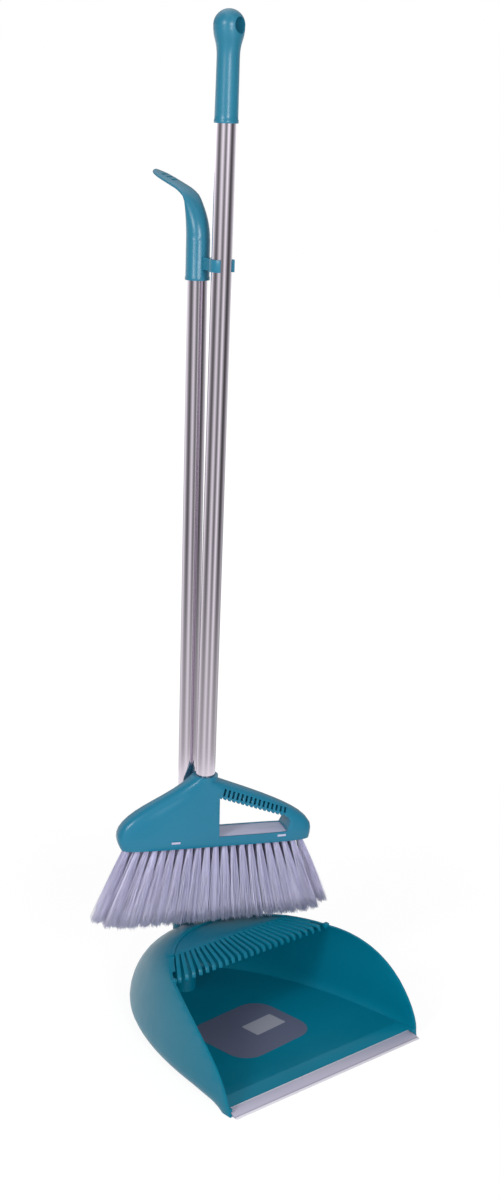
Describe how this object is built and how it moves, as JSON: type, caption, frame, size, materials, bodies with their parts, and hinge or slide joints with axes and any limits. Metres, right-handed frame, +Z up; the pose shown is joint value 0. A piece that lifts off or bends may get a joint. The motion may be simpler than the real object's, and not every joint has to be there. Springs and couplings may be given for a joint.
{
  "type": "dust pan and brush set",
  "caption": "Long-handled dust pan with a fanned cleaning comb and soft lip strip, and a broom clipped upright to its steel handle.",
  "frame": {"origin": "centre of the dust pan's resting face", "axes": "+Z up along the handles, the pan's mouth faces -Y, +X across the lip"},
  "size_m": [0.288, 0.3308, 1.124],
  "materials": {
    "pan_plastic": "moulded, semi-gloss",
    "grip_plastic": "moulded, glossy",
    "lip_rubber": "matte, soft",
    "tube_steel": "polished tube",
    "insert_plastic": "moulded",
    "block_plastic": "moulded",
    "bristle": "fine filaments",
    "anchor_metal": "stamped"
  },
  "bodies": {
    "pan": {"pan_body": "pan_plastic", "comb_plate": "pan_plastic", "lip_strip": "lip_rubber", "pan_tube": "tube_steel", "pan_ferrule": "insert_plastic", "hook_grip": "grip_plastic", "tube_clip": "grip_plastic"},
    "broom": {"broom_tube": "tube_steel", "broom_grip": "grip_plastic", "broom_ferrule": "insert_plastic"},
    "head": {"head_shell": "grip_plastic", "bristle_block": "block_plastic", "tuft_anchors": "anchor_metal", "tufts_row_1": "bristle", "tufts_row_2": "bristle", "tufts_row_3": "bristle", "tufts_row_4": "bristle"}
  },
  "joints": [
    {"name": "broom_lift", "type": "slide", "parent": "pan", "child": "broom", "axis": [0.0044, -0.0096, 0.9999], "range_m": [0, 0.5]},
    {"name": "head_turn", "type": "hinge", "parent": "broom", "child": "head", "pos_m": [-0.00262, 0.07377, 0.26203], "axis": [0.0044, -0.0096, 0.9999], "range_deg": [-1, 44]}
  ]
}
